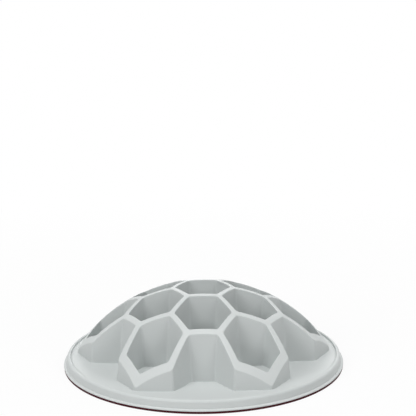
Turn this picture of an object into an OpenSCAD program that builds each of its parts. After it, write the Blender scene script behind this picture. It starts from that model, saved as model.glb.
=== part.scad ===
// Slow feeder bowl for a cat. A round plate carries a domed honeycomb of feeding wells, all one
// thin moulding that is hollow underneath, and a soft grip ring is pressed in under its rim.
// Millimetres, Z up. The origin is the centre of the base, on the table.

/* [Base] */
// Diameter over the flange, the widest part of the bowl
base_d = 300; // [294:1:340]
// Height of the plate's top face above the table
plate_z = 11.6; // [10:0.1:16]
// Wall thickness of the moulding
skin = 2.2; // [1.6:0.1:2.8]
// How far the flange stands out from the foot of the skirt
flange_w = 2.5; // [1.5:0.1:4]
// Height of the flange's outer edge
flange_h = 1; // [0.8:0.1:3]
// Rise of the flange's sloping top, from its edge to the skirt
flange_rise = 0.7; // [0.3:0.1:1.5]
// How far the skirt leans in from its foot to its top
skirt_lean = 1.1; // [0.5:0.1:2.5]
// Height of the lip above the plate
lip_h = 0.9; // [0.5:0.1:2.5]
// Width of the lip's flat top
lip_w = 1.8; // [1:0.1:3]
// Width of the sloping edge between the lip's top and the skirt
lip_edge_w = 1.6; // [0.5:0.1:2.5]
// Height of that sloping edge
lip_edge_h = 1.5; // [0.5:0.1:2]
// How far the lip's inner face leans
lip_lean = 0.8; // [0.3:0.1:1.2]
// Width of the plate's sloping margin, which falls to the foot of the lip
margin_w = 2; // [1:0.1:3]
// How far the margin falls
margin_fall = 1; // [0.3:0.1:1.2]

/* [Honeycomb] */
// Side of a cell, between the middle lines of its walls
cell_side = 32.8; // [30:0.1:33.4]
// Width of a wall's top at the middle of the dome, from which it widens outwards
wall_crown = 5; // [4.5:0.1:7.5]
// Width of a wall's top at the end of a tip
wall_tip = 7.8; // [6:0.1:9]
// Lean of the wall faces, in degrees
draft = 5.6; // [2:0.1:7]
// Radius of the dome that the wall tops follow
dome_r = 165; // [158:0.5:190]
// Height of the dome's crown above the table
dome_top_z = 86.3; // [80:0.1:100]
// Height of the floor of the wells above the table
well_floor_z = 17.5; // [15:0.5:22]

/* [Grip ring] */
// Height of the ring that shows under the flange
ring_h = 2.4; // [1.2:0.1:4]
// Width of the ring's flat foot
ring_w = 10.8; // [9.5:0.1:14]
// How far the ring's edge stays inside the flange's edge
ring_inset = 0.3; // [0:0.1:1]
// Width of the ring's tongue
tongue_w = 3.4; // [2:0.1:4.5]
// Height of the tongue above the foot
tongue_h = 4.6; // [3:0.1:6]
// Clearance on each side of the tongue in its channel
tongue_play = 0.2; // [0.1:0.05:0.5]
// Thickness of the rib that closes the channel on the inside
rib_w = 1.8; // [1.2:0.1:2.5]

/* [Hidden] */
$fn = 180;
// Overrun of a cut past the face it opens
overrun = 1;
lean = tan(draft);

// Rim, from the flange inwards
base_r = base_d / 2;
skirt_foot_r = base_r - flange_w;
flange_edge_z = ring_h + flange_h;
skirt_foot_z = flange_edge_z + flange_rise;
lip_z = plate_z + lip_h;
skirt_top_r = skirt_foot_r - skirt_lean;
skirt_top_z = lip_z - lip_edge_h;
lip_out_r = skirt_top_r - lip_edge_w;
lip_in_r = lip_out_r - lip_w;
lip_foot_r = lip_in_r - lip_lean;
lip_foot_z = plate_z - margin_fall;
plate_r = lip_foot_r - margin_w;
plate_under_z = plate_z - skin;
rib_top_z = (plate_under_z + lip_foot_z) / 2;

// Channel for the tongue, between the skirt and the rib
channel_out_r = skirt_foot_r - skin;
tongue_top_z = ring_h + tongue_h;
tongue_out_r = channel_out_r - tongue_play;
tongue_in_r = tongue_out_r - tongue_w;
rib_out_r = tongue_in_r - tongue_play;
rib_in_r = rib_out_r - rib_w;
ring_out_r = base_r - ring_inset;
ring_in_r = ring_out_r - ring_w;

// Radius of the skirt's inner face, which leans in above the flange as its outer face does
function skirt_in_r(z) =
    channel_out_r - skirt_lean * max(z - skirt_foot_z, 0) / (skirt_top_z - skirt_foot_z);

// Lattice: the distance between neighbouring cells, and between the dome's middle and the cells
// that lie outermost
pitch = sqrt(3) * cell_side;
tip_r = 3 * cell_side;
bay_r = 2 * pitch;
dome_centre_z = dome_top_z - dome_r;
cap_z = dome_top_z + overrun;

function turned(a, r) = [r * cos(a), r * sin(a)];
// Centres of the closed wells: the crown, the six round it and the six that stand out as tips
inner_ring = [for (k = [0 : 5]) turned(60 * k + 30, pitch)];
tip_ring = [for (k = [0 : 5]) turned(60 * k, tip_r)];
wells = concat([[0, 0]], inner_ring, tip_ring);

function dome_z(p) = dome_centre_z + sqrt(dome_r * dome_r - p * p);

// Width of a wall's top at a point of the lattice. It grows with the square of the distance from
// the middle of the dome.
function wall_w(p) =
    let (outwards = norm(p) / (tip_r + cell_side))
    wall_crown + (wall_tip - wall_crown) * outwards * outwards;

// Corner at angle a of the cell with this centre. It lies half a wall off the lattice point,
// inside the cell where way is -1 and outside it where way is 1.
function corner(centre, a, way) =
    let (half = wall_w(centre + turned(a, cell_side)) / sqrt(3))
    centre + turned(a, cell_side + way * half);

// Corners of a well, and of the honeycomb's outline: three round each tip, then the two at the
// back of the bay beside it, all counterclockwise
function well_corners(centre) = [for (side = [0 : 5]) corner(centre, 60 * side, -1)];
outline_corners = [
    for (k = [0 : 5])
        for (step = [-1 : 3])
            step < 2
                ? corner(tip_ring[k], 60 * (k + step), 1)
                : corner(turned(60 * k + 30, bay_r), 60 * (k + 6 - step), -1)
];

// Plane of the wall face over the line from a to b. It holds the straight line between the two
// points of the dome above them and leans by g for each unit of height, outwards if g is
// positive. Its trace at height z is the line n * p = w + g * z, given as [n, w, g].
function face(a, b, g, offset) =
    let (
        along = (b - a) / norm(b - a),
        rise = (dome_z(b) - dome_z(a)) / norm(b - a),
        n = [along[1], -along[0]] + g * rise * along
    )
    [n, n * a - g * dome_z(a) + offset * sqrt(n * n + g * g), g];

// Faces over a closed line of corners
function faces_over(corners, g, offset) =
    let (last = len(corners) - 1)
    [for (i = [0 : last]) face(corners[i], corners[i < last ? i + 1 : 0], g, offset)];

// Where the traces of two faces cross at height z
function crossing(f1, f2, z) =
    let (
        w1 = f1[1] + f1[2] * z,
        w2 = f2[1] + f2[2] * z,
        det = f1[0][0] * f2[0][1] - f1[0][1] * f2[0][0]
    )
    [
        (w1 * f2[0][1] - w2 * f1[0][1]) / det,
        (f1[0][0] * w2 - f2[0][0] * w1) / det,
        z
    ];

// Solid between two heights with the given faces round it
module faced_solid(faces, z0, z1) {
    n = len(faces);
    function loop(z) = [for (i = [0 : n - 1]) crossing(faces[(i + n - 1) % n], faces[i], z)];
    sides = [for (i = [0 : n - 1]) [i, i + n, (i + 1) % n + n, (i + 1) % n]];
    floor_face = [[for (i = [0 : n - 1]) i]];
    cap_face = [[for (i = [n - 1 : -1 : 0]) i + n]];
    polyhedron(points = concat(loop(z0), loop(z1)), faces = concat(floor_face, sides, cap_face));
}

// The dome with the honeycomb's outline, drawn in by the offset
module domed_block(offset, z0) {
    intersection() {
        faced_solid(faces_over(outline_corners, -lean, -offset), z0, cap_z);
        translate([0, 0, dome_centre_z]) sphere(r = dome_r - offset);
    }
}

// All the wells, widened and deepened by the offset
module well_solids(offset) {
    for (centre = wells)
        faced_solid(
            faces_over(well_corners(centre), lean, offset),
            well_floor_z - offset,
            cap_z + offset
        );
}

// Plate, margin, lip, skirt and flange as one turned solid
module base_solid() {
    rotate_extrude()
        polygon([
            [0, ring_h],
            [base_r, ring_h],
            [base_r, flange_edge_z],
            [skirt_foot_r, skirt_foot_z],
            [skirt_top_r, skirt_top_z],
            [lip_out_r, lip_z],
            [lip_in_r, lip_z],
            [lip_foot_r, lip_foot_z],
            [plate_r, plate_z],
            [0, plate_z]
        ]);
}

// Space under the plate, inside the skirt
module under_space() {
    rotate_extrude()
        polygon([
            [0, ring_h - overrun],
            [channel_out_r, ring_h - overrun],
            [channel_out_r, skirt_foot_z],
            [skirt_in_r(plate_under_z), plate_under_z],
            [0, plate_under_z]
        ]);
}

// Rib that hangs from the plate and holds the tongue against the skirt
module channel_rib() {
    translate([0, 0, ring_h])
        difference() {
            cylinder(r = rib_out_r, h = rib_top_z - ring_h);
            translate([0, 0, -overrun]) cylinder(r = rib_in_r, h = plate_z + overrun);
        }
}

// One moulding: plate, rim and honeycomb, with the hollows of its double walls open below
module feeder_shell() {
    color("#c1c5c4") {
        difference() {
            union() {
                base_solid();
                domed_block(0, plate_z - skin / 2);
            }
            well_solids(0);
            under_space();
            difference() {
                domed_block(skin, plate_under_z - overrun);
                well_solids(skin);
            }
        }
        channel_rib();
    }
}

// Soft ring: a flat foot that shows under the flange, and a tongue pressed into the channel
module grip_ring() {
    color("#3c1423")
        rotate_extrude()
            polygon([
                [ring_in_r, 0],
                [ring_out_r, 0],
                [ring_out_r, ring_h],
                [tongue_out_r, ring_h],
                [tongue_out_r, skirt_foot_z],
                [skirt_in_r(tongue_top_z) - tongue_play, tongue_top_z],
                [tongue_in_r, tongue_top_z],
                [tongue_in_r, ring_h],
                [ring_in_r, ring_h]
            ]);
}

feeder_shell();
grip_ring();
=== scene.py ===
from math import atan2, cos, degrees, pi, radians, sin, sqrt, tan

import bmesh
import bpy
from mathutils import Matrix, Vector


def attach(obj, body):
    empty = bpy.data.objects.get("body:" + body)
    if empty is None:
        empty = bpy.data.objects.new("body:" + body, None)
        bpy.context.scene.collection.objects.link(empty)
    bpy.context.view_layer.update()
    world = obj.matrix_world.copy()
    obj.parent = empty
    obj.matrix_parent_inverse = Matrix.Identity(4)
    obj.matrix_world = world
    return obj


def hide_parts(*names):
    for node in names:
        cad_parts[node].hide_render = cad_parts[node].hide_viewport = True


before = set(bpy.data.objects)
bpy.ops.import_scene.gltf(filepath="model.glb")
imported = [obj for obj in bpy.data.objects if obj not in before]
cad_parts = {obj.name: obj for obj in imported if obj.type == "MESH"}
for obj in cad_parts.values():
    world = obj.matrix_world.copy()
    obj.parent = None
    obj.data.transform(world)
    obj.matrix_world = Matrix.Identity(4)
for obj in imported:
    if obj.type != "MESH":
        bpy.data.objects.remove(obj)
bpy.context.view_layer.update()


# Bowl shell
# The grey bowl is one thin injection moulding in matt plastic: a round plate, the domed honeycomb
# of feeding wells that rises from it, and a rim with a low lip, a leaning skirt and a flange.
# Every wall is double and open below, so the mould has a core that follows the top face.
# The radius is a hair under the CAD model's 150 mm, so that the bowl stays inside that model's box.
mm = 0.001
base_r = 149.95 * mm
plate_z, floor_z, skin = 11.6 * mm, 17.5 * mm, 2.2 * mm
cell_side, draft = 32.8 * mm, radians(5.6)
crown_wall_w, tip_wall_w = 5 * mm, 7.8 * mm
dome_r, dome_top_z = 165 * mm, 86.3 * mm
touching = 0.01 * mm


def turned(angle, radius):
    return Vector((radius * cos(radians(angle)), radius * sin(radians(angle)), 0))


def moulded_face(drawn_in, floor, plate, edge_r, corner_r, rim_w, foot_r):
    """Plate and honeycomb as one open sheet, at a distance inside the top face of the moulding."""

    def dome_z(point):
        return dome_top_z - dome_r + sqrt((dome_r - drawn_in) ** 2 - point.xy.length_squared)

    # The walls grow wider on top from the crown to the ends of the tips
    def half_wall(point):
        outwards = point.xy.length / (4 * cell_side)
        wide = crown_wall_w + (tip_wall_w - crown_wall_w) * outwards ** 2
        return wide / 2 - drawn_in * (1 / cos(draft) - tan(draft))

    # A wall's face has a nearly level normal, unlike its top
    def steep(face):
        nearly_level = 0.3
        return abs(face.normal.z) < nearly_level

    def points(faces):
        return {v for f in faces for v in f.verts}

    # Thirteen cells laid side by side, and the plate drawn out from them to its edge
    sheet = bmesh.new()
    centres = [Vector()] + [turned(60 * k + 30, sqrt(3) * cell_side) for k in range(6)]
    centres += [turned(60 * k, 3 * cell_side) for k in range(6)]
    for centre in centres:
        place = Matrix.Translation(centre) @ Matrix.Rotation(radians(30), 4, "Z")
        bmesh.ops.create_circle(sheet, cap_ends=True, segments=6, radius=cell_side, matrix=place)
    bmesh.ops.remove_doubles(sheet, verts=sheet.verts, dist=touching)
    bmesh.ops.bisect_edges(sheet, edges=sheet.edges, cuts=3)
    cells = list(sheet.faces)
    outline = [e for e in sheet.edges if e.is_boundary]
    drawn_out = bmesh.ops.extrude_edge_only(sheet, edges=outline)["geom"]
    plates = [g for g in drawn_out if isinstance(g, bmesh.types.BMFace)]
    bmesh.ops.bisect_edges(sheet, edges=[e for e in sheet.edges if e.is_boundary], cuts=2)
    for v in sheet.verts:
        if v.is_boundary:
            v.co = v.co.normalized() * edge_r
    for f in sheet.faces:
        f.normal_update()
        if f.normal.z < 0:
            f.normal_flip()

    # Half of a wall's top is taken from each cell and from the plate, then the wells and the
    # plate are sunk: each foot stands out from its top by the draft
    def draw_in(wells, decks, width_at):
        step = 1 * mm
        bmesh.ops.inset_individual(sheet, faces=wells, thickness=step, use_even_offset=True)
        bmesh.ops.inset_region(sheet, faces=decks, thickness=step, use_boundary=False,
                               use_even_offset=True)
        for faces, level in ((wells, floor), (decks, plate)):
            inner = points(faces)
            for v in inner:
                for start in [w.co for e in v.link_edges for w in e.verts if w not in inner]:
                    v.co = start + (v.co - start) / step * width_at(start, level)

    fillet_h = foot_r * (1 - sin(draft))
    draw_in(cells, plates, lambda top, level: half_wall(top))
    bands = set(sheet.faces) - set(cells) - set(plates)
    draw_in(cells, plates, lambda top, level: (dome_z(top) - level - fillet_h) * tan(draft))
    for faces, level in ((cells, floor), (plates, plate)):
        for v in points(faces):
            v.co.z = level + fillet_h
    for v in points(bands):
        v.co.z = dome_z(v.co)

    # The plate is one face from tip to tip, so that no edge of it runs close to a corner
    def at_a_tip(edge):
        far = max(edge.verts, key=lambda v: v.co.xy.length).co
        return abs((degrees(atan2(far.y, far.x)) + 30) % 60 - 30) < 0.01

    spokes = [e for e in sheet.edges if all(f in plates for f in e.link_faces)
              and not e.is_boundary and not at_a_tip(e)]
    bmesh.ops.dissolve_edges(sheet, edges=spokes, use_verts=False)
    sheet.normal_update()

    # Rounded corners between the walls, then the rounded edges of the wall tops
    inner = [e for e in sheet.edges if not e.is_boundary]
    corners = [e for e in inner if all(steep(f) for f in e.link_faces)
               and e.calc_face_angle() > radians(30)]
    tops = [max(e.verts, key=lambda v: v.co.z) for e in corners if e.is_convex]
    mitres = [e for v in tops for e in v.link_edges if not any(steep(f) for f in e.link_faces)]
    bmesh.ops.dissolve_edges(sheet, edges=mitres, use_verts=False)
    bmesh.ops.bevel(sheet, geom=corners, offset=corner_r * tan(radians(30)), segments=4,
                    profile=0.5, affect="EDGES", clamp_overlap=False, material=-1)
    sheet.normal_update()

    def faces_at(level):
        return [f for f in sheet.faces
                if all(abs(v.co.z - level - fillet_h) < touching for v in f.verts)]

    wells, decks = faces_at(floor), faces_at(plate)
    low = set(wells) | set(decks)
    rims = [e for e in sheet.edges if sum(steep(f) for f in e.link_faces) == 1
            and not low.intersection(e.link_faces)]
    bmesh.ops.bevel(sheet, geom=rims, offset=rim_w, segments=3, profile=0.5, affect="EDGES",
                    clamp_overlap=False, material=-1)

    # Fillets at the feet of the walls
    steps = 3
    turns = [draft + (pi / 2 - draft) * i / steps for i in range(steps + 1)]
    for a, b in zip(turns, turns[1:]):
        draw_in(wells, decks, lambda start, level: foot_r * (cos(a) - cos(b)))
        for faces, level in ((wells, floor), (decks, plate)):
            for v in points(faces):
                v.co.z = level + foot_r * (1 - sin(b))
    return sheet


def smooth_object(name, shape):
    mesh = bpy.data.meshes.new(name)
    shape.to_mesh(mesh)
    shape.free()
    mesh.shade_smooth()
    piece = bpy.data.objects.new(name, mesh)
    bpy.context.scene.collection.objects.link(piece)
    return piece


# The rim, as its corners from the plate's edge down its sloping margin, over the lip and the skirt
# and up to the rib of the channel: radius, height and rounding
lip_z, under_z, skirt_foot_z, foot_z = 12.5 * mm, plate_z - skin, 4.1 * mm, 2.4 * mm
channel_r, rib_out_r, rib_in_r = 145.3 * mm, 141.5 * mm, 139.7 * mm
rim_corners = [
    (140.2 * mm, plate_z, 0), (142.2 * mm, 10.6 * mm, 0.2 * mm), (143 * mm, lip_z, 0.4 * mm),
    (144.8 * mm, lip_z, 0.8 * mm), (146.4 * mm, 11 * mm, 1 * mm),
    (147.5 * mm, skirt_foot_z, 0.4 * mm), (base_r, 3.4 * mm, 0.4 * mm),
    (base_r, foot_z, 0.25 * mm), (channel_r, foot_z, 0.15 * mm), (channel_r, skirt_foot_z, 0),
    (144.45 * mm, under_z, 0.3 * mm), (rib_out_r, under_z, 0.3 * mm),
    (rib_out_r, foot_z, 0.3 * mm), (rib_in_r, foot_z, 0.3 * mm), (rib_in_r, under_z, 0.5 * mm),
]
top_face = moulded_face(0, floor_z, plate_z, rim_corners[0][0],
                        corner_r=3.6 * mm, rim_w=0.8 * mm, foot_r=0.6 * mm)
under_face = moulded_face(skin, floor_z - skin, under_z, rim_corners[-1][0],
                          corner_r=1.5 * mm, rim_w=0.4 * mm, foot_r=0.6 * mm)
bmesh.ops.reverse_faces(under_face, faces=under_face.faces)
joined = bpy.data.meshes.new("moulding faces")
under_face.to_mesh(joined)
under_face.free()
shell = top_face
edge_loop = [e for e in shell.edges if e.is_boundary]
for radius, height, _ in rim_corners[1:]:
    grown = bmesh.ops.extrude_edge_only(shell, edges=edge_loop)["geom"]
    ends = {g for g in grown if isinstance(g, bmesh.types.BMVert)}
    for v in ends:
        v.co = v.co.xy.normalized().to_3d() * radius + Vector((0, 0, height))
    edge_loop = [g for g in grown if isinstance(g, bmesh.types.BMEdge) and ends.issuperset(g.verts)]
shell.from_mesh(joined)
bpy.data.meshes.remove(joined)
bmesh.ops.remove_doubles(shell, verts=shell.verts, dist=touching)
bmesh.ops.recalc_face_normals(shell, faces=shell.faces)
for radius, height, rounding in rim_corners:
    if rounding:
        ring = [e for e in shell.edges
                if all(abs(v.co.xy.length - radius) < touching and abs(v.co.z - height) < touching
                       for v in e.verts)]
        bmesh.ops.bevel(shell, geom=ring, offset=rounding, segments=3, profile=0.5,
                        affect="EDGES", clamp_overlap=False, material=-1)
bowl_shell = smooth_object("bowl_shell", shell)
bowl_shell.modifiers.new("even shading", "WEIGHTED_NORMAL")


class Wire:
    """The output of a node. A sum or product with another, or with a number, adds a Math node."""

    def __init__(self, finish, socket):
        self.finish, self.socket = finish, socket

    def result(self, operation, other):
        return self.finish.node("Math", {"operation": operation}, {0: self, 1: other})

    def __add__(self, other):
        return self.result("ADD", other)

    def __mul__(self, other):
        return self.result("MULTIPLY", other)

    __radd__, __rmul__ = __add__, __mul__


class Finish:
    """A named material, or the surround's. One method adds any node to it."""

    def __init__(self, name, kind="materials", shader="Principled BSDF"):
        self.owner = getattr(bpy.data, kind).new(name)
        self.owner.use_nodes = True
        self.tree = self.owner.node_tree
        self.shader = self.tree.nodes[shader]

    def fill(self, node, inputs):
        for key, value in inputs.items():
            if isinstance(value, Wire):
                self.tree.links.new(value.socket, node.inputs[key])
            else:
                node.inputs[key].default_value = value

    def node(self, kind, settings, inputs, output=0):
        made = self.tree.nodes.new("ShaderNode" + kind)
        for key, value in settings.items():
            setattr(made, key, value)
        self.fill(made, inputs)
        return Wire(self, made.outputs[output])

    def put_on(self, piece, node):
        piece.data.materials.append(self.owner)
        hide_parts(node)
        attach(piece, "root")


# Matt grey plastic: the mould was spark-eroded, which leaves a fine even grain, and the colour
# drifts a little where the melt ran far from the gate under the crown
plastic = Finish("matt grey plastic")
place = plastic.node("TexCoord", {}, {}, "Object")
grain = plastic.node("TexNoise", {}, {"Vector": place, "Scale": 1500, "Detail": 3})
flow = plastic.node("TexNoise", {}, {"Vector": place, "Scale": 14, "Detail": 2, "Roughness": 0.4})
tint = plastic.node("Mix", {"data_type": "RGBA"}, {
    "Factor": flow, 6: (0.523, 0.550, 0.546, 1), 7: (0.538, 0.565, 0.561, 1)}, 2)
relief = plastic.node("Bump", {}, {"Strength": 0.4, "Distance": 0.0001, "Height": grain})
plastic.fill(plastic.shader, {
    "Base Color": tint, "Roughness": 0.46 + 0.06 * flow + 0.06 * grain, "Normal": relief,
    "Specular IOR Level": 0.45})
plastic.put_on(bowl_shell, "feeder_shell")


# Grip ring
# A burgundy ring of soft rubber under the rim. Its flat foot shows as a dark line below the
# flange, and its tongue is pressed up into the channel between the skirt and the rib.
inside_r, outside_r, tongue_z = 138.9 * mm, 149.65 * mm, 7 * mm
play = 0.2 * mm
section = [
    (inside_r, 0), (outside_r, 0), (outside_r, foot_z), (channel_r - play, foot_z),
    (channel_r - play, skirt_foot_z), (144.6 * mm, tongue_z), (rib_out_r + play, tongue_z),
    (rib_out_r + play, foot_z), (inside_r, foot_z),
]
ring = bmesh.new()
corners = [ring.verts.new((radius, 0, height)) for radius, height in section]
ring.faces.new(corners)
bmesh.ops.bevel(ring, geom=corners, offset=0.15 * mm, segments=3, profile=0.5, affect="VERTICES",
                clamp_overlap=False, material=-1)
bmesh.ops.delete(ring, geom=list(ring.faces), context="FACES_ONLY")
bmesh.ops.spin(ring, geom=list(ring.verts) + list(ring.edges), cent=(0, 0, 0), axis=(0, 0, 1),
               angle=2 * pi, steps=360, use_merge=True)
bmesh.ops.recalc_face_normals(ring, faces=ring.faces)
grip_ring = smooth_object("grip_ring_rubber", ring)
grip_ring.modifiers.new("even shading", "WEIGHTED_NORMAL")

rubber = Finish("burgundy rubber")
place = rubber.node("TexCoord", {}, {}, "Object")
bloom = rubber.node("TexNoise", {}, {"Vector": place, "Scale": 60, "Detail": 4})
pores = rubber.node("TexNoise", {}, {"Vector": place, "Scale": 2200, "Detail": 2})
tint = rubber.node("Mix", {"data_type": "RGBA"}, {
    "Factor": bloom, 6: (0.046, 0.005, 0.009, 1), 7: (0.058, 0.008, 0.013, 1)}, 2)
relief = rubber.node("Bump", {}, {"Strength": 0.3, "Distance": 0.0001, "Height": pores})
rubber.fill(rubber.shader, {
    "Base Color": tint, "Roughness": 0.7 + 0.1 * bloom, "Normal": relief,
    "Specular IOR Level": 0.15})
rubber.put_on(grip_ring, "grip_ring")


# Studio
# A white floor, broad soft lamps overhead, in front on both sides and behind, and an even surround.
# Floor and surround show white to the camera and in reflections, but light the bowl only faintly.
# Near the bowl a part of the floor is seen as it is lit, so the shadow stays.
def shown_white(finish):
    rays = [finish.node("LightPath", {}, {}, "Is %s Ray" % kind)
            for kind in ("Camera", "Glossy", "Transmission")]
    return finish.node("Math", {"operation": "ADD", "use_clamp": True}, {
        0: rays[0] + rays[1], 1: rays[2]})


bpy.ops.mesh.primitive_plane_add(size=12)
floor = bpy.context.object
floor.name = "studio_floor"
paper = Finish("white floor")
paper.fill(paper.shader, {
    "Base Color": (0.8, 0.8, 0.8, 1), "Roughness": 0.9, "Specular IOR Level": 0.0})
white = paper.node("Emission", {}, {"Color": (1, 1, 1, 1), "Strength": 1.0})
place = paper.node("TexCoord", {}, {}, "Object")
distance = paper.node("VectorMath", {"operation": "LENGTH"}, {0: place}, "Value")
far = paper.node("MapRange", {}, {"Value": distance, "From Min": 0.2, "From Max": 0.8})
lit = Wire(paper, paper.shader.outputs["BSDF"])
lit_share = 0.12
whiteness = (1 - lit_share + lit_share * far) * shown_white(paper)
shown = paper.node("MixShader", {}, {0: whiteness, 1: lit, 2: white})
paper.fill(paper.tree.nodes["Material Output"], {"Surface": shown})
floor.data.materials.append(paper.owner)

for name, place, watts in (
        ("overhead lamp", (0, -0.1, 2), 20), ("left lamp", (-1.2, -1.2, 1), 17),
        ("right lamp", (1.2, -1.2, 1), 11), ("back lamp", (0, 1.8, 0.85), 7),
        ("back left lamp", (-1.2, 1.2, 1), 3), ("back right lamp", (1.2, 1.2, 1), 5.5)):
    lamp = bpy.data.objects.new(name, bpy.data.lights.new(name, "AREA"))
    lamp.data.shape, lamp.data.size = "DISK", 1
    lamp.data.energy = watts
    lamp.location = place
    lamp.rotation_euler = (-lamp.location).to_track_quat("-Z", "Y").to_euler()
    bpy.context.scene.collection.objects.link(lamp)

surround = Finish("studio surround", "worlds", "Background")
faint = 0.12
surround.fill(surround.shader, {
    "Color": (1, 1, 1, 1), "Strength": faint + (1 - faint) * shown_white(surround)})
bpy.context.scene.world = surround.owner
bpy.context.scene.view_settings.view_transform = "Standard"


# Camera
# A long lens, low in front of the bowl, that looks down on it by about 13 degrees.
camera = bpy.data.objects.new("camera", bpy.data.cameras.new("camera"))
camera.data.lens = 107.942
camera.location = (0.00207, -1.27917, 0.45967)
camera.rotation_euler = (radians(77.2363), radians(0.5513), radians(-0.3151))
bpy.context.scene.collection.objects.link(camera)
bpy.context.scene.camera = camera
